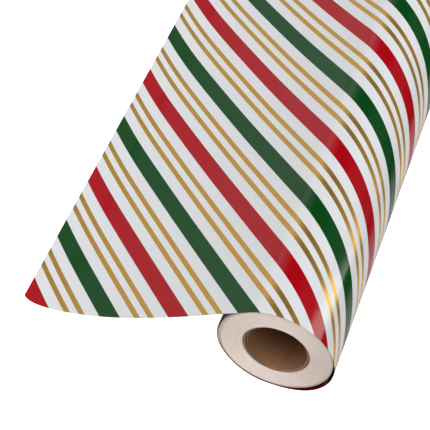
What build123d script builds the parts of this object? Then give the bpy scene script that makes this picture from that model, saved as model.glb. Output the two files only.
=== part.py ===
"""Wrapping paper roll, lying on its side with the end of the paper pulled off over its top.

A spiral-wound kraft tube carries the web of paper. The web is one length of paper, held here as
three pieces that move differently: the tight pack turns with the tube, the loose outer turn keeps
its shape around the pack, and the free sheet slides away from it along the table.

+Y is the axis of the roll, +Z is up, and the sheet runs off towards -X.
The origin is the middle of the tube's bore.
"""

import os
from math import cos, pi, radians, sin

from build123d import *

os.makedirs("parts", exist_ok=True)

# ---- Driving dimensions, in millimetres and degrees ----

# The web of paper
paper_width = 610.0  # along the roll, a 24 in web
paper_thickness = 0.25  # as modelled; real gift wrap is about 0.08
pack_build = 14.25  # from the tube's surface to the outside of the tight pack

# The tube, four plies from the bore outwards
bore_diameter = 38.1
liner_thickness = 0.25
body_ply_thickness = 0.5  # each of the two body plies
cover_ply_thickness = 0.25
core_recess = 1.0  # how far each end of the tube sits inside the paper's edge

# The tape that holds the first turn of paper on the tube
tape_width = 19.0
tape_inset = 25.0  # from each edge of the paper
tape_thickness = 0.25  # as modelled; real tape is about 0.1
tape_angle = 30.0

# The loose outer turn, by angle from +X towards +Z
running_gap = 0.3  # between the pack and the loose turn where they all but touch
tuck_gap = 0.05  # where the turn's start lies over its own tail
tuck_sweep = 60.0  # the start lies down on the pack over this angle
front_slack = 3.0  # the largest extra gap, on the side away from the sheet
front_slack_angle = -38.0
front_slack_reach = 74.0  # up over the top
front_slack_under = 54.0  # down to the table
back_slack = 1.9  # the largest extra gap, under the sheet
back_slack_angle = -186.0
back_slack_reach = 49.0
turn_step = 15.0  # between the points that the turn's outline is drawn through

# The free sheet
ramp_slope = 35.2  # how steeply it leaves the roll
curl_length = 8.0  # the last stretch, which curls up off the table
curl_radius = 66.0
# Each bend of the ramp: its share of the ramp's length, and of the turn that levels it out
ramp_bends = ((0.265, 0.057), (0.37, 0.276), (0.205, 0.222), (0.16, 0.445))

# ---- Worked out from them ----

bore_r = bore_diameter / 2
core_length = paper_width - 2 * core_recess
tape_length = paper_width - 2 * tape_inset
ply_thicknesses = {
    "core_liner": liner_thickness,
    "core_inner_body_ply": body_ply_thickness,
    "core_outer_body_ply": body_ply_thickness,
    "core_cover_ply": cover_ply_thickness,
}
core_r = bore_r + sum(ply_thicknesses.values())
pack_r = core_r + pack_build
departure = 90.0 + ramp_slope  # the angle where the sheet leaves the roll
table_z = -(pack_r + running_gap + paper_thickness)


def polar(radius, angle):
    """The point of the XZ profile at that radius and angle."""
    return (radius * cos(radians(angle)), radius * sin(radians(angle)))


def bump(angle, middle, reach_up, reach_down):
    """A smooth rise from 0 to 1 at its middle and back, for the slack of the loose turn."""
    off = angle - middle
    reach = reach_up if off > 0 else reach_down
    return cos(pi / 2 * off / reach) ** 2 if abs(off) < reach else 0.0


def turn_r(angle):
    """The inside radius of the loose turn, which starts at the departure and ends under itself."""
    tuck = max(0.0, 1 - (departure - angle) / tuck_sweep)
    return (
        pack_r
        + running_gap
        + (paper_thickness + tuck_gap) * tuck**2 * (3 - 2 * tuck)
        + front_slack * bump(angle, front_slack_angle, front_slack_reach, front_slack_under)
        + back_slack * bump(angle, back_slack_angle, back_slack_reach, back_slack_reach)
    )


# ---- The tube: four plies, each wound round the one inside it and glued face to face ----

inner_r = bore_r
for name, thickness in ply_thicknesses.items():
    with BuildPart() as ply:
        with BuildSketch(Plane.XZ):
            Circle(inner_r + thickness)
            Circle(inner_r, mode=Mode.SUBTRACT)
        extrude(amount=core_length / 2, both=True)
    ply.part.label = name
    export_step(ply.part, f"parts/{name}.step")
    inner_r += thickness

# ---- The tape on the tube, and the tight pack wound over it ----

tape_sweep = 360 * tape_width / (2 * pi * core_r)
with BuildPart() as starting_tape:
    with BuildSketch(Plane.XZ):
        with BuildLine():
            inner = CenterArc((0, 0), core_r, tape_angle, tape_sweep)
            outer = CenterArc((0, 0), core_r + tape_thickness, tape_angle, tape_sweep)
            Line(inner @ 0, outer @ 0)
            Line(inner @ 1, outer @ 1)
        make_face()
    extrude(amount=tape_length / 2, both=True)
starting_tape.part.label = "starting_tape"
export_step(starting_tape.part, "parts/starting_tape.step")

with BuildPart() as wound_pack:
    with BuildSketch(Plane.XZ):
        Circle(pack_r)
        Circle(core_r, mode=Mode.SUBTRACT)
    extrude(amount=paper_width / 2, both=True)
    add(starting_tape.part, mode=Mode.SUBTRACT)
wound_pack.part.label = "wound_pack"
export_step(wound_pack.part, "parts/wound_pack.step")

# ---- The loose outer turn: from the departure over the top, down, under and back up ----

steps = round(360 / turn_step)
turn_angles = [departure - 360 * i / steps for i in range(steps + 1)]
with BuildPart() as outer_turn:
    with BuildSketch(Plane.XZ):
        with BuildLine():
            inside = Spline([polar(turn_r(a), a) for a in turn_angles])
            outside = Spline([polar(turn_r(a) + paper_thickness, a) for a in turn_angles])
            Line(inside @ 0, outside @ 0)
            Line(inside @ 1, outside @ 1)
        make_face()
    extrude(amount=paper_width / 2, both=True)
outer_turn.part.label = "outer_turn"
export_step(outer_turn.part, "parts/outer_turn.step")

# ---- The free sheet: down a ramp that levels out on the table, and a short curl ----


def ramp_fall():
    """How far the ramp falls for each millimetre of its length."""
    slope, fall = radians(ramp_slope), 0.0
    for length_share, turn_share in ramp_bends:
        lower = slope - turn_share * radians(ramp_slope)
        fall += length_share * (cos(lower) - cos(slope)) / (slope - lower)
        slope = lower
    return fall


sheet_start_r = turn_r(departure) + paper_thickness / 2
sheet_start_z = polar(sheet_start_r, departure)[1]
ramp_length = (sheet_start_z - table_z - paper_thickness / 2) / ramp_fall()
sheet_length = ramp_length + curl_length
sheet_bends = [
    (length_share * ramp_length / radians(turn_share * ramp_slope), turn_share * ramp_slope)
    for length_share, turn_share in ramp_bends
]
sheet_bends.append((curl_radius, curl_length / radians(1) / curl_radius))


def draw_side(side):
    """One face of the sheet as a chain of tangent arcs: side is -1 for the underside, 1 for the top."""
    at = polar(sheet_start_r + side * paper_thickness / 2, departure)
    heading = Vector(*polar(1, departure + 90))
    arcs = []
    for radius, turn in sheet_bends:
        arcs.append(JernArc(at, heading, radius - side * paper_thickness / 2, -turn))
        at = arcs[-1] @ 1
        heading = arcs[-1] % 1
    return arcs


with BuildPart() as unrolled_sheet:
    with BuildSketch(Plane.XZ):
        with BuildLine():
            underside = draw_side(-1)
            top = draw_side(1)
            Line(underside[0] @ 0, top[0] @ 0)
            Line(underside[-1] @ 1, top[-1] @ 1)
        make_face()
    extrude(amount=paper_width / 2, both=True)
unrolled_sheet.part.label = "unrolled_sheet"
export_step(unrolled_sheet.part, "parts/unrolled_sheet.step")

print(f"pack radius {pack_r:.2f}, table at {table_z:.2f}, free sheet {sheet_length:.1f} long")
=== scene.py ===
"""Wrapping paper roll: a kraft tube, the tight pack wound on it, and the end of the paper pulled off.

Everything is in metres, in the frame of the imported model: +Y is the axis of the roll, +Z is up, and the
free sheet runs off towards -X. The middle of the tube's bore is the origin.
"""

import math

import bmesh
import bpy
import numpy as np
from mathutils import Matrix, Vector


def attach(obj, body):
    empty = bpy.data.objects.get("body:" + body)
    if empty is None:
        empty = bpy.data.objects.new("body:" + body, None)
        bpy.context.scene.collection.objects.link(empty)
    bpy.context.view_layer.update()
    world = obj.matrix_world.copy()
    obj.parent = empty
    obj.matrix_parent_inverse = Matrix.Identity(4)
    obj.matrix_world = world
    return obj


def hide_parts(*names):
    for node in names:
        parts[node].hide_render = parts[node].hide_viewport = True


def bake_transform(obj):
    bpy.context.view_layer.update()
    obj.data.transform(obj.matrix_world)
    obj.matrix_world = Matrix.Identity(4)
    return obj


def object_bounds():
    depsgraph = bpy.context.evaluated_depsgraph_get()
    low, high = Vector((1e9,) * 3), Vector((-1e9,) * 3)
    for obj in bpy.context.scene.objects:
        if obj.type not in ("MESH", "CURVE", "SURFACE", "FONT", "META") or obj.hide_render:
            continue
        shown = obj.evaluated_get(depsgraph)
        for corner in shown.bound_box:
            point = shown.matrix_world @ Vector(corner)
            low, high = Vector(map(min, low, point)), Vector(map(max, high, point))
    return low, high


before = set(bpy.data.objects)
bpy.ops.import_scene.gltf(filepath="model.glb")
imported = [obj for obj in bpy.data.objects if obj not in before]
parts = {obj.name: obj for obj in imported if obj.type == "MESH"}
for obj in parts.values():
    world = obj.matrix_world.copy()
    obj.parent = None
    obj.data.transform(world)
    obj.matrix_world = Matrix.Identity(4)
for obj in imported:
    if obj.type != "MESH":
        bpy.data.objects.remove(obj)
cad_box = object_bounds()

# ---- Camera ----
# Looks down on the near end from in front and above, tilted a little, so that the roll leaves by the
# upper right and the free corner of the sheet lies at the left.

camera_bearing = math.radians(13.643)
camera_height = math.radians(48.448)
camera_tilt = math.radians(7.390)
camera_distance = 0.86612
camera_aim = Vector((-0.05770, -0.26142, 0.04960))

outward = Vector((
    math.sin(camera_bearing) * math.cos(camera_height),
    -math.cos(camera_bearing) * math.cos(camera_height),
    math.sin(camera_height),
))
level_right = Vector((math.cos(camera_bearing), math.sin(camera_bearing), 0))
level_up = outward.cross(level_right)
right = level_right * math.cos(camera_tilt) + level_up * math.sin(camera_tilt)
up = level_up * math.cos(camera_tilt) - level_right * math.sin(camera_tilt)

camera_data = bpy.data.cameras.new("camera")
camera_data.lens = 122.74
camera_data.sensor_width = 36
camera_data.clip_start = 0.01
camera = bpy.data.objects.new("camera", camera_data)
turned = Matrix((right, up, outward)).transposed().to_4x4()
camera.matrix_world = Matrix.Translation(camera_aim + outward * camera_distance) @ turned
bpy.context.scene.collection.objects.link(camera)
bpy.context.scene.camera = camera

# ---- Studio ----
# A white table under a soft white surround. The surround is bright in front and darker behind the roll,
# where the gloss of the paper mirrors it.

bpy.context.scene.view_settings.view_transform = "Standard"
bpy.context.scene.view_settings.look = "None"


def add_node(tree, kind, inputs=None, **settings):
    """A new node. Each input takes a plain value, or the socket that feeds it."""
    node = tree.nodes.new(kind)
    for name, value in settings.items():
        setattr(node, name, value)
    for name, value in (inputs or {}).items():
        if isinstance(value, bpy.types.NodeSocket):
            tree.links.new(value, node.inputs[name])
        else:
            node.inputs[name].default_value = value
    return node


def maths(tree, operation, first, second=0.0, third=0.0, clamp=False):
    """The result of one Math node, whose terms are numbers or sockets."""
    terms = {0: first, 1: second, 2: third}
    return add_node(tree, "ShaderNodeMath", terms, operation=operation, use_clamp=clamp).outputs[0]


def ramp(tree, factor, stops, interpolation="LINEAR"):
    """The colour of a Color Ramp with these (place, colour) stops."""
    node = add_node(tree, "ShaderNodeValToRGB", {"Fac": factor})
    node.color_ramp.interpolation = interpolation
    elements = node.color_ramp.elements
    elements[0].position = stops[0][0]
    elements[1].position = stops[-1][0]
    for place, _ in stops[1:-1]:
        elements.new(place)
    for element, (_, colour) in zip(elements, stops):
        element.color = (*colour, 1)
    return node.outputs["Color"]


def rise(tree, value, start, end, low=0.0, high=1.0, kind="SMOOTHSTEP"):
    """Goes from low to high as the value goes from start to end, and stays there beyond them."""
    terms = {"Value": value, "From Min": start, "From Max": end, "To Min": low, "To Max": high}
    return add_node(tree, "ShaderNodeMapRange", terms, interpolation_type=kind).outputs["Result"]


def blend(tree, factor, first, second):
    """A number between two others, which are numbers or sockets."""
    terms = {"Factor": factor, "A": first, "B": second}
    return add_node(tree, "ShaderNodeMix", terms, data_type="FLOAT").outputs[0]


def split(tree, vector):
    """The X, Y and Z of a vector, by name."""
    return add_node(tree, "ShaderNodeSeparateXYZ", {"Vector": vector}).outputs


def grey(level):
    return (level, level, level)


def around(degrees):
    """Where an angle from +X towards +Z falls on a ramp that runs once round the roll."""
    return degrees / 360 + 0.5


def angle_round(tree, place):
    """Where a point or direction lies on such a ramp."""
    angle = maths(tree, "ARCTAN2", place["Z"], place["X"])
    return maths(tree, "MULTIPLY_ADD", angle, 1 / (2 * math.pi), 0.5)


light_above = 1.64
light_low_left = 0.15
light_low_right = 0.80
light_at_far_end = 0.9
most_mirrored = 0.5  # of the bright front, in the paper's gloss

surround = bpy.data.worlds.new("surround")
surround.use_nodes = True
sky = surround.node_tree
sky.nodes.clear()
toward = split(sky, add_node(sky, "ShaderNodeTexCoord").outputs["Generated"])
ray = add_node(sky, "ShaderNodeLightPath").outputs
behind = ramp(sky, angle_round(sky, toward), [
    (around(0), grey(0.03)),
    (around(28), grey(0.03)),
    (around(36), grey(0.12)),
    (around(74), grey(0.12)),
    (around(88), grey(0.0)),
    (around(119), grey(0.0)),
    (around(132), grey(0.34)),
    (around(172), grey(0.42)),
])
low_front = rise(sky, toward["X"], -0.3, 0.4, light_low_left, light_low_right)
front = blend(sky, rise(sky, toward["Z"], 0.25, 0.65), low_front, light_above)
front = blend(sky, ray["Is Glossy Ray"], front, maths(sky, "MINIMUM", front, most_mirrored))
all_round = blend(sky, rise(sky, toward["Y"], 0.02, 0.3), front, behind)
all_round = blend(sky, rise(sky, toward["Y"], 0.86, 0.97), all_round, light_at_far_end)
brightness = blend(sky, ray["Is Camera Ray"], all_round, 1.0)
background = add_node(sky, "ShaderNodeBackground", {"Color": (1, 1, 1, 1), "Strength": brightness})
add_node(sky, "ShaderNodeOutputWorld", {"Surface": background.outputs[0]})
bpy.context.scene.world = surround

table_half = 2.5
table_z = cad_box[0][2]
dark_from = 0.235  # towards +X the table is dark, so that little light comes off it there
white_from = 0.075
table_glow = 0.08  # light that the white part gives off, besides what it reflects
table_albedo = 0.56
table_mesh = bpy.data.meshes.new("table")
table_corners = [
    (x * table_half, y * table_half, table_z) for x, y in ((-1, -1), (1, -1), (1, 1), (-1, 1))
]
table_mesh.from_pydata(table_corners, [], [(0, 1, 2, 3)])
table = bpy.data.objects.new("table", table_mesh)
bpy.context.scene.collection.objects.link(table)

white_table = bpy.data.materials.new("white table")
white_table.use_nodes = True
tree = white_table.node_tree
tree.nodes.clear()
seen_direct = add_node(tree, "ShaderNodeLightPath").outputs["Is Camera Ray"]
place = split(tree, add_node(tree, "ShaderNodeTexCoord").outputs["Object"])
white_part = rise(tree, place["X"], dark_from, white_from)
glow = blend(tree, seen_direct, maths(tree, "MULTIPLY", white_part, table_glow), 1.0)
albedo = blend(tree, seen_direct, maths(tree, "MULTIPLY_ADD", white_part, table_albedo, 0.02), 0.8)
albedo = add_node(tree, "ShaderNodeCombineColor", {"Red": albedo, "Green": albedo, "Blue": albedo})
lit = add_node(tree, "ShaderNodeBsdfDiffuse", {"Color": albedo.outputs[0]})
glowing = add_node(tree, "ShaderNodeEmission", {"Strength": glow})
both = add_node(tree, "ShaderNodeAddShader", {0: lit.outputs[0], 1: glowing.outputs[0]})
add_node(tree, "ShaderNodeOutputMaterial", {"Surface": both.outputs[0]})
table_mesh.materials.append(white_table)


def add_softbox(name, centre, target, width, height, watts, lights=True):
    """A soft rectangular lamp that faces a point. Its own shape shows only in reflections."""
    lamp = bpy.data.lights.new(name, "AREA")
    lamp.shape = "RECTANGLE"
    lamp.size = width
    lamp.size_y = height
    lamp.energy = watts
    holder = bpy.data.objects.new(name, lamp)
    aim = (Vector(target) - Vector(centre)).to_track_quat("-Z", "Y")
    holder.matrix_world = Matrix.Translation(centre) @ aim.to_matrix().to_4x4()
    holder.visible_camera = False
    holder.visible_diffuse = lights
    bpy.context.scene.collection.objects.link(holder)


add_softbox("strip lamp", (0.66, 0.225, 0.33), (0.02, -0.30, 0.03), 0.14, 0.50, 0.66)
add_softbox("low card", (-0.245, 0.22, 0.20), (-0.245, 0.22, 0.0), 0.105, 0.74, 0.081, lights=False)

# ---- The web of gift wrap ----
# One length of coated paper, printed with slanting stripes in red, green and gold. Its start is wound into
# the pack. Its last turns lie loose round the roll, and from there it runs down to the table as a free sheet.

paper_width = 0.610
paper_thickness = 0.00025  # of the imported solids
real_thickness = 0.0001
pack_radius = 0.0348
running_gap = 0.0003
tuck_gap = 0.00005
tuck_sweep = 60.0
front_slack = 0.0030
front_slack_angle = -38.0
front_slack_reach = 74.0
front_slack_under = 54.0
back_slack = 0.0019
back_slack_angle = -186.0
back_slack_reach = 49.0
ramp_slope = 35.2
departure = 90.0 + ramp_slope
curl_length = 0.008
curl_radius = 0.066
ramp_bends = ((0.265, 0.057), (0.37, 0.276), (0.205, 0.222), (0.16, 0.445))
turn_rows = 180
sheet_rows = 108
rows_across = 110


def bump(angle, middle, reach_up, reach_down):
    """A smooth rise from 0 to 1 at its middle and back, for the slack of the loose turn."""
    off = angle - middle
    reach = reach_up if off > 0 else reach_down
    return math.cos(math.pi / 2 * off / reach) ** 2 if abs(off) < reach else 0.0


def loose_radius(angle):
    """The middle of the loose turn's thickness, at an angle from +X towards +Z."""
    tuck = max(0.0, 1 - (departure - angle) / tuck_sweep)
    return (
        pack_radius
        + running_gap
        + paper_thickness / 2
        + (paper_thickness + tuck_gap) * tuck**2 * (3 - 2 * tuck)
        + front_slack * bump(angle, front_slack_angle, front_slack_reach, front_slack_under)
        + back_slack * bump(angle, back_slack_angle, back_slack_reach, back_slack_reach)
    )


def polar(radius, angle):
    return Vector((radius * math.cos(math.radians(angle)), radius * math.sin(math.radians(angle))))


def ramp_fall():
    """How far the ramp falls for each metre of its length."""
    slope = math.radians(ramp_slope)
    fall = 0.0
    for length_share, turn_share in ramp_bends:
        lower = slope - turn_share * math.radians(ramp_slope)
        fall += length_share * (math.cos(lower) - math.cos(slope)) / (slope - lower)
        slope = lower
    return fall


def sheet_path(rows):
    """Points down the ramp and along the curl, one for each row after the departure."""
    place = polar(loose_radius(departure), departure)
    floor_z = -(pack_radius + running_gap + paper_thickness / 2)
    ramp_length = (place.y - floor_z) / ramp_fall()
    bends = [(share * ramp_length, turn * math.radians(ramp_slope)) for share, turn in ramp_bends]
    bends.append((curl_length, curl_length / curl_radius))
    length = ramp_length + curl_length
    step = length / rows
    slope = math.radians(ramp_slope)
    points = [place]
    travelled = 0.0
    for row in range(rows):
        middle = travelled + step / 2
        passed = 0.0
        slope_here = slope
        for bend_length, bend_turn in bends:
            into = min(max(middle - passed, 0.0), bend_length)
            slope_here -= bend_turn * into / bend_length
            passed += bend_length
        place = place + Vector((-math.cos(slope_here), -math.sin(slope_here))) * step
        points.append(place)
        travelled += step
    return points, length


bow_up = 0.00114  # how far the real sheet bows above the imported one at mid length
bow_shift = -0.00023
pull_in = 0.00335  # how much less far its free edge reaches

sheet_points, sheet_length = sheet_path(sheet_rows)
loose_points = []
for row in range(turn_rows):
    angle = departure - 360 + 360 * row / turn_rows
    loose_points.append(polar(loose_radius(angle), angle))
web_points = loose_points + sheet_points

run = [0.0]
for before, after in zip(web_points, web_points[1:]):
    run.append(run[-1] + (after - before).length)
departure_run = run[turn_rows]
run = [value - departure_run for value in run]
for row, point in enumerate(sheet_points):
    share = row / sheet_rows
    point.x += pull_in * share
    point.y += bow_up * math.sin(math.pi * share) + bow_shift * math.sin(2 * math.pi * share)

end_lean = -0.0478  # the whole roll leans: the upper side of its near end stands out
near_edge = -0.00077  # of the free sheet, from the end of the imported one
edge_skew = -0.0011  # and how it changes for each metre of the sheet
low_lean = 0.75  # the loose turn leans by less than the roll on its lower side
edge_proud = 0.0003  # how far the loose turn's edge stands out from the roll's face
top_edge_proud = 0.0006  # and how much further at its top
lean_fade = 0.022  # the sheet's edge leaves the roll's lean over this length
tail_start = -0.178  # the loose turn's tail is drawn in a little, under the sheet
tail_length = 0.030
tail_recess = 0.0028
free_edge_skew = 0.0073  # the free edge runs this much further out for each metre along it
# What the cut leaves off the sheet's near edge at its free corner, and the length that each part fades over
corner_trims = ((0.0033, 0.004), (0.0026, 0.045))
# Faint waves across the free sheet: height, length along the roll, waves down the sheet, and phase
ripples = ((0.00022, 0.37, 1.3, 0.8), (0.00012, 0.17, -2.1, 2.0))


def web_normal(row):
    before = web_points[max(row - 1, 0)]
    after = web_points[min(row + 1, len(web_points) - 1)]
    along = (after - before).normalized()
    return Vector((along.y, -along.x)) * -1


vertices = []
along_paper = []
for row, point in enumerate(web_points):
    normal = web_normal(row)
    reach = min(max(run[row] / sheet_length, 0.0), 1.0)
    leaving = min(max(run[row] / lean_fade, 0.0), 1.0) ** 2
    lean = end_lean * point.y * (1.0 if point.y > 0 else low_lean)
    wound_edge = lean - edge_proud - top_edge_proud * max(point.y, 0.0) / 0.035
    tail = min(max((tail_start - run[row]) / tail_length, 0.0), 1.0)
    wound_edge += tail_recess * tail * tail * (3 - 2 * tail)
    edge_place = (1 - leaving) * wound_edge + leaving * (near_edge + edge_skew * run[row])
    trim = 0.0
    if run[row] > 0:
        trim = sum(depth * math.exp((run[row] - sheet_length) / length) for depth, length in corner_trims)
    for column in range(rows_across + 1):
        y = -paper_width / 2 + trim + (paper_width - trim) * column / rows_across + edge_place
        ripple = sum(
            height * math.sin(2 * math.pi * (y / length + waves * reach) + phase)
            for height, length, waves, phase in ripples
        )
        ripple *= math.sin(math.pi * min(reach * 1.1, 1.0)) if reach > 0 else 0.0
        x = point.x + normal.x * ripple
        skewed_by = free_edge_skew * (y + paper_width / 2) * reach
        vertices.append((x - skewed_by, y, point.y + normal.y * ripple))
        along_paper.append((run[row] + x, run[row]))
faces = []
stride = rows_across + 1
for row in range(len(web_points) - 1):
    for column in range(rows_across):
        corner = row * stride + column
        faces.append((corner, corner + 1, corner + stride + 1, corner + stride))
web_mesh = bpy.data.meshes.new("paper_web")
web_mesh.from_pydata(vertices, [], faces)
web_mesh.shade_smooth()
layer = web_mesh.uv_layers.new(name="paper run")
for loop in web_mesh.loops:
    layer.uv[loop.index].vector = along_paper[loop.vertex_index]
web = bpy.data.objects.new("paper_web", web_mesh)
bpy.context.scene.collection.objects.link(web)


def new_group(name, inputs, outputs):
    """A shader node group with these (name, kind, value) inputs, and its input and output nodes."""
    group = bpy.data.node_groups.new(name, "ShaderNodeTree")
    for label, kind, value in inputs:
        socket = group.interface.new_socket(label, in_out="INPUT", socket_type=kind)
        if value is not None:
            socket.default_value = value
    for label, kind in outputs:
        group.interface.new_socket(label, in_out="OUTPUT", socket_type=kind)
    return group, add_node(group, "NodeGroupInput").outputs, add_node(group, "NodeGroupOutput").inputs


def use_group(tree, group, inputs=None):
    return add_node(tree, "ShaderNodeGroup", inputs, node_tree=group).outputs


def mix_colours(tree, factor, first, second, blend_type="MIX"):
    node = add_node(tree, "ShaderNodeMix", data_type="RGBA", blend_type=blend_type)
    for socket, value in ((node.inputs[0], factor), (node.inputs[6], first), (node.inputs[7], second)):
        if isinstance(value, bpy.types.NodeSocket):
            tree.links.new(value, socket)
        else:
            socket.default_value = (*value, 1) if isinstance(value, tuple) else value
    return node.outputs[2]


def toned(tree, colour, tone):
    """A colour made darker or lighter by a tone that changes over the surface."""
    level = add_node(tree, "ShaderNodeCombineColor", {"Red": tone, "Green": tone, "Blue": tone}).outputs[0]
    return mix_colours(tree, 1.0, colour, level, "MULTIPLY")


# Striped print: red and green bars by turns, with two gold lines between each pair of bars. Widths and
# places are in shares of the spacing.
stripe_spacing = 0.052215  # between bars, along the roll
stripe_lean = 1.0451  # how far they shift along the roll for each metre of paper
stripe_start = 0.15588 - paper_width / 2
bar_width = 0.298
gold_places = (0.3965, 0.6031)
gold_width = 0.090
ink_edge = 0.004

print_group, given, result = new_group(
    "striped print",
    [("Across", "NodeSocketFloat", 0.0), ("Along", "NodeSocketFloat", 0.0)],
    [("Red", "NodeSocketFloat"), ("Green", "NodeSocketFloat"), ("Gold", "NodeSocketFloat")],
)
leaning = maths(print_group, "MULTIPLY_ADD", given["Along"], -stripe_lean, -stripe_start)
place_across = maths(print_group, "ADD", given["Across"], leaning)
count = maths(print_group, "MULTIPLY", place_across, 1 / stripe_spacing)


def near_band(tree, value, target, period, width):
    """1 inside bands of that width, a period apart, and 0 outside them, with a crisp inked edge."""
    off = maths(tree, "WRAP", maths(tree, "SUBTRACT", value, target), period / 2, -period / 2)
    distance = maths(tree, "ABSOLUTE", off)
    return rise(tree, distance, width / 2 + ink_edge, width / 2 - ink_edge, kind="LINEAR")


print_group.links.new(near_band(print_group, count, 0.0, 2.0, bar_width), result["Red"])
print_group.links.new(near_band(print_group, count, 1.0, 2.0, bar_width), result["Green"])
gold_lines = [near_band(print_group, count, place, 1.0, gold_width) for place in gold_places]
print_group.links.new(maths(print_group, "ADD", *gold_lines, clamp=True), result["Gold"])

# Paper fibre: soft mottling and a fine tooth, at the scale of the fibres.
fibre_group, given, result = new_group(
    "paper fibre",
    [("Vector", "NodeSocketVector", None), ("Fibres per metre", "NodeSocketFloat", 2500.0),
     ("Mottling", "NodeSocketFloat", 0.04)],
    [("Tone", "NodeSocketFloat"), ("Height", "NodeSocketFloat")],
)
fine = add_node(fibre_group, "ShaderNodeTexNoise", {
    "Vector": given["Vector"], "Scale": given["Fibres per metre"], "Detail": 3.0, "Roughness": 0.6})
coarse = add_node(fibre_group, "ShaderNodeTexNoise", {
    "Vector": given["Vector"], "Scale": maths(fibre_group, "MULTIPLY", given["Fibres per metre"], 0.12),
    "Detail": 2.0})
both_noises = maths(fibre_group, "ADD", fine.outputs["Fac"], coarse.outputs["Fac"])
off_middle = maths(fibre_group, "SUBTRACT", both_noises, 1.0)
fibre_group.links.new(maths(fibre_group, "MULTIPLY_ADD", off_middle, given["Mottling"], 1.0), result["Tone"])
fibre_group.links.new(fine.outputs["Fac"], result["Height"])

paper_white = (0.83, 0.845, 0.865)
ink_red = (0.44, 0.0025, 0.009)
ink_green = (0.0028, 0.068, 0.0105)
ink_gold = (0.93, 0.54, 0.118)
# The loose turn's tail lies in deep shade under the sheet at the near end. That shade is painted into the
# print's colour, and comes in over these stretches of the paper's run and of the roll's length.
nip_run = (-0.186, -0.194)
nip_end = (-0.275, -0.295)
painted_nip_shade = (0.004, 0.002, 0.001)


def new_material(name):
    """A material with an empty tree, and its Principled shader."""
    material = bpy.data.materials.new(name)
    material.use_nodes = True
    tree = material.node_tree
    tree.nodes.clear()
    shader = add_node(tree, "ShaderNodeBsdfPrincipled")
    add_node(tree, "ShaderNodeOutputMaterial", {"Surface": shader.outputs[0]})
    return material, tree, shader


def add_tooth(tree, shader, height, strength, distance):
    """Lets a height that changes over the surface show as a fine bump."""
    tooth = add_node(tree, "ShaderNodeBump", {"Height": height, "Strength": strength, "Distance": distance})
    tree.links.new(tooth.outputs["Normal"], shader.inputs["Normal"])


def paper_place(tree):
    """A point's place in the object, and the paper's run there, which the mesh carries."""
    position = add_node(tree, "ShaderNodeTexCoord").outputs["Object"]
    laid = add_node(tree, "ShaderNodeUVMap", uv_map="paper run").outputs["UV"]
    return position, split(tree, position), split(tree, laid)


def print_masks(tree, place, laid, slides):
    """The print's masks on this piece. Where the paper slides, the stripes stay unstretched as it moves."""
    along = laid["Y"]
    if slides:
        along = maths(tree, "SUBTRACT", laid["X"], place["X"])
    return use_group(tree, print_group, {"Across": place["Y"], "Along": along})


def printed_material(name, slides):
    """The printed side, glossy, with gold that shines like foil."""
    material, tree, shader = new_material(name)
    position, place, laid = paper_place(tree)
    masks = print_masks(tree, place, laid, slides)
    fibre = use_group(tree, fibre_group, {"Vector": position, "Fibres per metre": 2500.0, "Mottling": 0.03})
    colour = mix_colours(tree, masks["Red"], paper_white, ink_red)
    colour = mix_colours(tree, masks["Green"], colour, ink_green)
    colour = mix_colours(tree, masks["Gold"], colour, ink_gold)
    colour = toned(tree, colour, fibre["Tone"])
    metal = maths(tree, "MULTIPLY", masks["Gold"], 0.8)
    # Painted shade in the nip: the tail turns near black at the near end, and metallic, so that it shows no
    # sheen.
    if slides:
        tucked = rise(tree, laid["Y"], *nip_run, kind="LINEAR")
        at_end = rise(tree, place["Y"], *nip_end, kind="LINEAR")
        nip = maths(tree, "MULTIPLY", tucked, at_end)
        colour = mix_colours(tree, nip, colour, painted_nip_shade)
        metal = maths(tree, "MAXIMUM", metal, nip)
    tree.links.new(colour, shader.inputs["Base Color"])
    tree.links.new(metal, shader.inputs["Metallic"])
    gloss = maths(tree, "MULTIPLY_ADD", masks["Gold"], 0.16, 0.13)
    gloss = maths(tree, "MULTIPLY_ADD", fibre["Height"], 0.04, gloss)
    tree.links.new(gloss, shader.inputs["Roughness"])
    add_tooth(tree, shader, fibre["Height"], 0.08, 0.00005)
    return material


web_print = printed_material("gift wrap, printed side", True)

# The back is bare white paper that the print shows through. Wound on the roll it lies in its own shade: there
# its colour, and that of the loose turn's cut edges, is painted light and shade set by the angle round the
# roll, tinted red and brown by the print showing through.
bare_back = (0.72, 0.70, 0.68)
gold_through = (0.45, 0.33, 0.16)
show_through = 0.30
web_back, tree, shader = new_material("gift wrap, back")
position, place, laid = paper_place(tree)
masks = print_masks(tree, place, laid, True)
fibre = use_group(tree, fibre_group, {"Vector": position, "Fibres per metre": 1800.0, "Mottling": 0.06})
# Painted light and shade on the wound back and the loose turn's cut edges, by angle round the roll.
painted_shade_round_roll = ramp(tree, angle_round(tree, place), [
    (around(-180), (0.90, 0.70, 0.60)),
    (around(-168), (0.80, 0.50, 0.44)),
    (around(-156), (0.30, 0.03, 0.03)),
    (around(-100), (0.09, 0.010, 0.010)),
    (around(-84), (0.13, 0.07, 0.045)),
    (around(-72), (0.13, 0.035, 0.03)),
    (around(-60), (0.12, 0.001, 0.001)),
    (around(-34), (0.12, 0.001, 0.001)),
    (around(-29), (0.16, 0.12, 0.05)),
    (around(-25), (0.060, 0.009, 0.004)),
    (around(10), (0.012, 0.007, 0.005)),
    (around(60), (0.05, 0.03, 0.025)),
    (around(120), (0.20, 0.16, 0.15)),
    (around(135), (0.02, 0.015, 0.01)),
    (around(164), (0.02, 0.015, 0.01)),
    (around(174), (0.60, 0.44, 0.38)),
    (around(180), (0.90, 0.70, 0.60)),
])
off_roll = rise(tree, laid["Y"], 0.015, 0.05)
shows = maths(tree, "MULTIPLY", off_roll, show_through)
colour = mix_colours(tree, off_roll, painted_shade_round_roll, bare_back)
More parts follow.
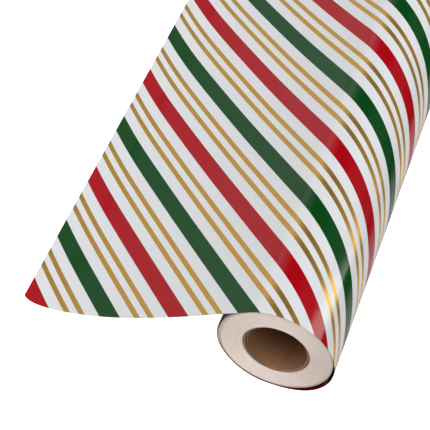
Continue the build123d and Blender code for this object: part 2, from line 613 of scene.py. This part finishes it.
for ink, through in (("Red", ink_red), ("Green", ink_green), ("Gold", gold_through)):
    colour = mix_colours(tree, maths(tree, "MULTIPLY", masks[ink], shows), colour, through)
tree.links.new(toned(tree, colour, fibre["Tone"]), shader.inputs["Base Color"])
tree.links.new(maths(tree, "MULTIPLY_ADD", fibre["Height"], 0.15, 0.6), shader.inputs["Roughness"])
shader.inputs["Specular IOR Level"].default_value = 0.15
add_tooth(tree, shader, fibre["Height"], 0.3, 0.00008)
web_mesh.materials.append(web_print)
web_mesh.materials.append(web_back)


def give_thickness(sheet, thickness, fullness=""):
    """Turns a sheet into a closed wall of that thickness, with its back and cut edges in the second material.

    Where the vertex group called fullness falls below 1, the wall is thinner by as much."""
    wall = sheet.modifiers.new("thickness", "SOLIDIFY")
    wall.thickness = thickness
    wall.offset = 0
    wall.vertex_group = fullness
    wall.material_offset = 1
    wall.material_offset_rim = 1
    depsgraph = bpy.context.evaluated_depsgraph_get()
    solid = bpy.data.meshes.new_from_object(sheet.evaluated_get(depsgraph))
    sheet.modifiers.remove(wall)
    sheet.data = solid
    solid.set_sharp_from_angle(angle=math.radians(50))


give_thickness(web, real_thickness)
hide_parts("outer_turn", "unrolled_sheet")
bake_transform(web)

# ---- The tight pack ----
# About 178 turns of the same paper, wound hard on the tube. The cut edges of the turns make the cream end
# faces, where the turns stand a little proud of each other and the whole pack leans towards its upper side.

pack_inside = 0.02055
pack_outside = 0.03450
pack_columns = 192
pack_rings = (pack_inside, 0.0250, 0.0300, pack_outside)
pack_recess = 0.0002  # of its ends, whose turns stand out from there
hole_flare = 0.00055  # the hole opens at each end, where the first turns have let go of the tube
flare_length = 0.006
edge_inset = 0.0001  # the turns that stand out keep this far from the rims
shown_turns = 46.0  # whose edges stand out on each end
edge_thickness = 0.00019
edge_stands_out = 0.00016
edge_cream = (0.84, 0.74, 0.675)


def ring_points(radius, y, columns):
    return [
        (radius * math.cos(2 * math.pi * i / columns), y, radius * math.sin(2 * math.pi * i / columns))
        for i in range(columns)
    ]


half = paper_width / 2 - pack_recess
outline = [(radius, -half) for radius in pack_rings]
outline[0] = (pack_inside + hole_flare, -half)
outline += [(pack_outside, -half + paper_width * share) for share in (0.25, 0.5, 0.75)]
outline += [(radius, half) for radius in reversed(pack_rings)]
outline[-1] = (pack_inside + hole_flare, half)
outline += [(pack_inside, y) for y in (half - flare_length, 0.0, -half + flare_length)]
pack_vertices = []
for radius, y in outline:
    pack_vertices += ring_points(radius, y, pack_columns)
pack_faces = []
pack_slots = []
for ring in range(len(outline)):
    following = (ring + 1) % len(outline)
    barrel = outline[ring][0] == outline[following][0] == pack_outside
    for i in range(pack_columns):
        j = (i + 1) % pack_columns
        a, b = ring * pack_columns, following * pack_columns
        pack_faces.append((a + i, a + j, b + j, b + i))
        pack_slots.append(1 if barrel else 0)
pack_mesh = bpy.data.meshes.new("wound_paper")
pack_mesh.from_pydata(pack_vertices, [], pack_faces)
pack_mesh.polygons.foreach_set("material_index", pack_slots)


def new_shape_tree(name, inputs):
    """A Geometry Nodes tree with these (name, kind, value) inputs, and its input and output nodes."""
    tree = bpy.data.node_groups.new(name, "GeometryNodeTree")
    for label, kind, value in inputs:
        socket = tree.interface.new_socket(label, in_out="INPUT", socket_type=kind)
        if value is not None:
            socket.default_value = value
    tree.interface.new_socket("Geometry", in_out="OUTPUT", socket_type="NodeSocketGeometry")
    return tree, add_node(tree, "NodeGroupInput").outputs, add_node(tree, "NodeGroupOutput").inputs


def made_by(tree, name, values):
    """The plain mesh that a Geometry Nodes tree makes with these values for its inputs."""
    holder = bpy.data.objects.new(name, bpy.data.meshes.new(name))
    bpy.context.scene.collection.objects.link(holder)
    modifier = holder.modifiers.new("shape", "NODES")
    modifier.node_group = tree
    for item in tree.interface.items_tree:
        if item.in_out == "INPUT" and item.name in values:
            modifier[item.identifier] = values[item.name]
    depsgraph = bpy.context.evaluated_depsgraph_get()
    mesh = bpy.data.meshes.new_from_object(holder.evaluated_get(depsgraph))
    holder.modifiers.remove(modifier)
    bpy.data.objects.remove(holder)
    return mesh


edge_tree, given, result = new_shape_tree("wound edge", [
    ("Inside Radius", "NodeSocketFloat", 0.02055),
    ("Outside Radius", "NodeSocketFloat", 0.0347),
    ("Turns", "NodeSocketFloat", 46.0),
    ("Edge Thickness", "NodeSocketFloat", 0.0001),
    ("Stand Out", "NodeSocketFloat", 0.0002),
    ("Seed", "NodeSocketFloat", 1.0),
    ("Material", "NodeSocketMaterial", None),
])
spiral = add_node(edge_tree, "GeometryNodeCurveSpiral", {
    "Resolution": 96, "Rotations": given["Turns"], "Start Radius": given["Inside Radius"],
    "End Radius": given["Outside Radius"], "Height": 0.0})
turn_share = add_node(edge_tree, "GeometryNodeSplineParameter").outputs["Factor"]
step_noise = add_node(edge_tree, "ShaderNodeTexNoise", {
    "W": maths(edge_tree, "MULTIPLY_ADD", turn_share, 21.0, given["Seed"]), "Scale": 1.0, "Detail": 4.0,
    "Roughness": 0.75}, noise_dimensions="1D")
stand = maths(edge_tree, "MULTIPLY", maths(edge_tree, "SUBTRACT", step_noise.outputs["Fac"], 0.5),
              maths(edge_tree, "MULTIPLY", given["Stand Out"], 2.0))
offset = add_node(edge_tree, "ShaderNodeCombineXYZ", {"Z": stand})
stepped = add_node(edge_tree, "GeometryNodeSetPosition", {
    "Geometry": spiral.outputs[0], "Offset": offset.outputs[0]})
section = add_node(edge_tree, "GeometryNodeCurvePrimitiveCircle", {
    "Resolution": 4, "Radius": given["Edge Thickness"]})
swept = add_node(edge_tree, "GeometryNodeCurveToMesh", {
    "Curve": stepped.outputs[0], "Profile Curve": section.outputs[0], "Fill Caps": True})
realized = add_node(edge_tree, "GeometryNodeRealizeInstances", {"Geometry": swept.outputs[0]})
coated = add_node(edge_tree, "GeometryNodeSetMaterial", {
    "Geometry": realized.outputs[0], "Material": given["Material"]})
edge_tree.links.new(coated.outputs[0], result[0])

cut_edges, tree, shader = new_material("cut paper edges")
shader.inputs["Specular IOR Level"].default_value = 0.3
position = add_node(tree, "ShaderNodeTexCoord").outputs["Object"]
place = split(tree, position)
flat = add_node(tree, "ShaderNodeCombineXYZ", {"X": place["X"], "Y": place["Z"]})
radius = add_node(tree, "ShaderNodeVectorMath", {0: flat.outputs[0]}, operation="LENGTH").outputs["Value"]
turns = add_node(tree, "ShaderNodeTexNoise", {
    "W": maths(tree, "MULTIPLY", radius, 1900.0), "Scale": 1.0, "Detail": 3.0, "Roughness": 0.7},
    noise_dimensions="1D")
groups_of_turns = add_node(tree, "ShaderNodeTexNoise", {
    "W": maths(tree, "MULTIPLY", radius, 330.0), "Scale": 1.0, "Detail": 1.0}, noise_dimensions="1D")
fibre = use_group(tree, fibre_group, {"Vector": position, "Fibres per metre": 3000.0, "Mottling": 0.10})
tone = maths(tree, "MULTIPLY_ADD", maths(tree, "SUBTRACT", turns.outputs["Fac"], 0.5), 0.11, fibre["Tone"])
tone = maths(tree, "MULTIPLY_ADD", maths(tree, "SUBTRACT", groups_of_turns.outputs["Fac"], 0.5), 0.10, tone)
# Painted shade: the cream darkens towards +X, for the light falling off across the end faces. It turns with
# the roll.
tone = maths(tree, "MULTIPLY_ADD", place["X"], -1.9, tone)
tree.links.new(toned(tree, edge_cream, tone), shader.inputs["Base Color"])
tree.links.new(maths(tree, "MULTIPLY_ADD", turns.outputs["Fac"], 0.2, 0.65), shader.inputs["Roughness"])
add_tooth(tree, shader, maths(tree, "ADD", turns.outputs["Fac"], fibre["Height"]), 0.35, 0.0001)

wound_print = printed_material("gift wrap, wound", False)

pack_shape = bmesh.new()
pack_shape.from_mesh(pack_mesh)
for end, seed in ((-1, 3.0), (1, 11.0)):
    edge = made_by(edge_tree, "wound_edge", {
        "Inside Radius": pack_inside + hole_flare + edge_inset,
        "Outside Radius": pack_outside - edge_inset,
        "Turns": shown_turns,
        "Edge Thickness": edge_thickness,
        "Stand Out": edge_stands_out,
        "Seed": seed,
        "Material": cut_edges,
    })
    stand_up = Matrix.Rotation(math.radians(90 if end < 0 else -90), 4, "X")
    edge.transform(Matrix.Translation((0, end * half, 0)) @ stand_up)
    pack_shape.from_mesh(edge)
    bpy.data.meshes.remove(edge)
bmesh.ops.recalc_face_normals(pack_shape, faces=pack_shape.faces)
for vertex in pack_shape.verts:
    vertex.co.y += end_lean * vertex.co.z
for face in pack_shape.faces:
    face.smooth = True
pack_shape.to_mesh(pack_mesh)
pack_shape.free()
layer = pack_mesh.uv_layers.new(name="paper run")
for polygon in pack_mesh.polygons:
    centre_angle = math.atan2(polygon.center.z, polygon.center.x)
    for index in polygon.loop_indices:
        point = pack_mesh.vertices[pack_mesh.loops[index].vertex_index].co
        angle = math.atan2(point.z, point.x)
        angle -= 2 * math.pi * round((angle - centre_angle) / (2 * math.pi))
        layer.uv[index].vector = (0.0, angle * pack_outside)
pack_mesh.set_sharp_from_angle(angle=math.radians(50))
pack_mesh.materials.append(cut_edges)
pack_mesh.materials.append(wound_print)
pack = bpy.data.objects.new("wound_paper", pack_mesh)
bpy.context.scene.collection.objects.link(pack)
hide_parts("wound_pack")
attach(pack, "roll")

# ---- The turns under the loose one ----
# A few turns that have slackened with the outermost one. They lie together as one thick leaf between it and
# the pack, and spring a little way out into the gap wherever the outer turn stands off.

under_thickness = 0.00060
under_clearance = 0.00006
under_follow_back = 0.50  # how much of the outer turn's slack they take up under the sheet
under_follow_front = 0.10
under_thickest = under_thickness + under_follow_back * back_slack
under_columns = 60

under_mesh = bpy.data.meshes.new("under_turns")
under_fullness = []
vertices = []
for row in range(turn_rows + 1):
    angle = departure - 360 * row / turn_rows
    front_bump = bump(angle, front_slack_angle, front_slack_reach, front_slack_under)
    back_bump = bump(angle, back_slack_angle, back_slack_reach, back_slack_reach)
    thickness = under_thickness + under_follow_front * front_slack * front_bump
    thickness += under_follow_back * back_slack * back_bump
    under_fullness += [thickness / under_thickest] * (under_columns + 1)
    point = polar(pack_outside + under_clearance + thickness / 2, angle)
    for column in range(under_columns + 1):
        y = -paper_width / 2 + paper_width * column / under_columns + end_lean * point.y
        vertices.append((point.x, y, point.y))
faces = []
stride = under_columns + 1
for row in range(turn_rows):
    for column in range(under_columns):
        corner = row * stride + column
        faces.append((corner, corner + stride, corner + stride + 1, corner + 1))
under_mesh.from_pydata(vertices, [], faces)
under_mesh.shade_smooth()
under_turns = bpy.data.objects.new("under_turns", under_mesh)
bpy.context.scene.collection.objects.link(under_turns)
group = under_turns.vertex_groups.new(name="fullness")
for index, weight in enumerate(under_fullness):
    group.add([index], weight, "REPLACE")


def plain_paper(name, colour, mottling, fibres, roughness, roughness_change):
    """Paper in one colour with a fibre tooth. The tucked turns use it for their print and cut edges, painted
    in the shade of the gap.
    """
    material, tree, shader = new_material(name)
    position = add_node(tree, "ShaderNodeTexCoord").outputs["Object"]
    fibre = use_group(tree, fibre_group, {
        "Vector": position, "Fibres per metre": fibres, "Mottling": mottling})
    tree.links.new(toned(tree, colour, fibre["Tone"]), shader.inputs["Base Color"])
    rough = maths(tree, "MULTIPLY_ADD", fibre["Height"], roughness_change, roughness)
    tree.links.new(rough, shader.inputs["Roughness"])
    shader.inputs["Specular IOR Level"].default_value = 0.2
    return material


# Painted shade: the tucked turns' outward print shows as plain mauve-grey, the white paper in the gap's
# shade, and their cut edges are darker and browner than the pack's.
under_mesh.materials.append(
    plain_paper("gift wrap, tucked under, painted shade", (0.72, 0.63, 0.665), 0.06, 1800.0, 0.4, 0.15))
under_mesh.materials.append(
    plain_paper("cut paper edges, slackened, painted shade", (0.60, 0.485, 0.42), 0.30, 3000.0, 0.65, 0.2))
give_thickness(under_turns, under_thickest, "fullness")
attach(under_turns, "loose_turn")

# ---- The tube's plies ----
# Four strips of board wound on the slant and glued face to face: a kraft liner, two plies of grey board,
# and a kraft cover. The cut end of the tube is a little rough, and the liner is torn along part of it.

bore_radius = 0.01905
tube_half = paper_width / 2 - 0.001
plies = (
    ("kraft_liner", "core_liner", 0.00025, (0.32, 0.163, 0.083), (0.38, 0.24, 0.145), 5, 0.0004),
    ("inner_board", "core_inner_body_ply", 0.0005, (0.30, 0.18, 0.105), (0.20, 0.110, 0.058), 9, 0.0003),
    ("outer_board", "core_outer_body_ply", 0.0005, (0.30, 0.18, 0.105), (0.34, 0.215, 0.13), 13, 0.00025),
    ("kraft_cover", "core_cover_ply", 0.00025, (0.34, 0.19, 0.10), (0.13, 0.070, 0.035), 17, 0.0001),
)
ply_columns = 160
seam_pitch = 0.085
seam_depth = 0.00007
seam_half_width = 0.0009
rough_length = 0.0012  # the cut's roughness dies out over this length of the tube
torn_middle = 208.0  # where the liner has come away from the tube's near end
torn_reach = 62.0
torn_lift = 0.0014
torn_depth = 0.007
torn_back = 0.0010
bore_shade_from_end = 0.036  # from here inwards the board is painted darker: painted shade deep in the bore
bore_shade_colour = (0.075, 0.026, 0.006)


def kraft_material(name, base, cut_end, seed):
    """Brown board: fibres that run along the slanting strip, flecks, a colour of its own at the cut end, and
    painted shade deep in the bore.
    """
    material, tree, shader = new_material(name)
    position = add_node(tree, "ShaderNodeTexCoord").outputs["Object"]
    slanted = add_node(tree, "ShaderNodeMapping", {
        "Vector": position, "Location": (seed * 0.1, 0, 0), "Scale": (1, 0.25, 1)}).outputs[0]
    fibre = use_group(tree, fibre_group, {"Vector": slanted, "Fibres per metre": 1300.0, "Mottling": 0.34})
    from_middle = maths(tree, "ABSOLUTE", split(tree, position)["Y"])
    # Painted shade: the board darkens from the cut end inwards, as the bore grows darker further in.
    inside = rise(tree, from_middle, tube_half - 0.003, tube_half - bore_shade_from_end, kind="LINEAR")
    at_cut = rise(tree, from_middle, tube_half - 0.0008, tube_half - 0.0004, kind="LINEAR")
    flecks = add_node(tree, "ShaderNodeTexNoise", {"Vector": slanted, "Scale": 700.0, "Detail": 1.0})
    fleck = rise(tree, flecks.outputs["Fac"], 0.62, 0.75, kind="LINEAR")
    board = mix_colours(tree, at_cut, mix_colours(tree, inside, base, bore_shade_colour), cut_end)
    colour = toned(tree, board, fibre["Tone"])
    colour = mix_colours(tree, maths(tree, "MULTIPLY", fleck, 0.15), colour, tuple(v * 0.45 for v in base))
    tree.links.new(colour, shader.inputs["Base Color"])
    tree.links.new(maths(tree, "MULTIPLY_ADD", fibre["Height"], 0.2, 0.65), shader.inputs["Roughness"])
    shader.inputs["Specular IOR Level"].default_value = 0.12
    add_tooth(tree, shader, fibre["Height"], 0.5, 0.0001)
    return material


inner_radius = bore_radius
for name, node_name, thickness, base, cut_end, seed, raggedness in plies:
    generator = np.random.default_rng(seed)
    waves = generator.uniform(0, 2 * math.pi, 9)
    stations = [-tube_half, -tube_half + 0.0006, -tube_half + 0.0015, -tube_half + 0.003, -tube_half + 0.0045]
    stations += [-tube_half + 2 * tube_half * share for share in np.linspace(0.0125, 0.99, 60)]
    stations += [tube_half - 0.0015, tube_half - 0.0006, tube_half]
    outline = [(inner_radius, y) for y in stations]
    outline += [(inner_radius + thickness, y) for y in reversed(stations)]
    ply_shape = bmesh.new()
    rings = []
    for radius, y in outline:
        ring = []
        for i in range(ply_columns):
            angle = 2 * math.pi * i / ply_columns
            rough = sum(math.sin((k * 3 + 2) * angle + waves[k]) / (k + 1.5) for k in range(9)) / 2.2
            near_end = max(0.0, 1 - (tube_half - abs(y)) / rough_length)
            y_here = y - math.copysign(abs(rough) * raggedness, y) * near_end
            turn = angle / (2 * math.pi) - y / seam_pitch
            off_seam = abs((turn + 0.5) % 1.0 - 0.5) * 2 * math.pi * inner_radius
            groove = seam_depth * max(0.0, 1 - off_seam / seam_half_width)
            inside = radius < inner_radius + thickness / 2
            r_here = radius + (groove if inside else 0.0)
            if name == "kraft_liner" and y < 0:
                torn = bump(math.degrees(angle), torn_middle, torn_reach, torn_reach)
                r_here -= torn_lift * torn * max(0.0, 1 - (tube_half + y) / torn_depth) ** 2
                y_here += torn_back * torn * near_end * (0.6 + 0.4 * rough)
            ring.append(ply_shape.verts.new(
                (r_here * math.cos(angle), y_here, r_here * math.sin(angle))))
        rings.append(ring)
    for ring, following in zip(rings, rings[1:] + rings[:1]):
        for i in range(ply_columns):
            j = (i + 1) % ply_columns
            ply_shape.faces.new((ring[i], ring[j], following[j], following[i])).smooth = True
    bmesh.ops.recalc_face_normals(ply_shape, faces=ply_shape.faces)
    ply_mesh = bpy.data.meshes.new(name)
    ply_shape.to_mesh(ply_mesh)
    ply_shape.free()
    ply_mesh.set_sharp_from_angle(angle=math.radians(50))
    ply_mesh.materials.append(kraft_material(name.replace("_", " "), base, cut_end, seed))
    ply = bpy.data.objects.new(name, ply_mesh)
    bpy.context.scene.collection.objects.link(ply)
    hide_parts(node_name)
    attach(ply, "roll")
    inner_radius += thickness

# ---- The starting tape ----
# A strip of clear tape that holds the first turn of paper down on the tube. The pack hides it.

tape_film, tree, shader = new_material("clear tape")
position = add_node(tree, "ShaderNodeTexCoord").outputs["Object"]
haze = add_node(tree, "ShaderNodeTexNoise", {"Vector": position, "Scale": 90.0, "Detail": 3.0})
tree.links.new(ramp(tree, haze.outputs["Fac"], [
    (0.35, (0.70, 0.66, 0.56)), (0.65, (0.80, 0.77, 0.69))]), shader.inputs["Base Color"])
tree.links.new(maths(tree, "MULTIPLY_ADD", haze.outputs["Fac"], 0.2, 0.25), shader.inputs["Roughness"])
shader.inputs["Coat Weight"].default_value = 0.3
tape_node = parts["starting_tape"]
tape_node.data.materials.clear()
tape_node.data.materials.append(tape_film)
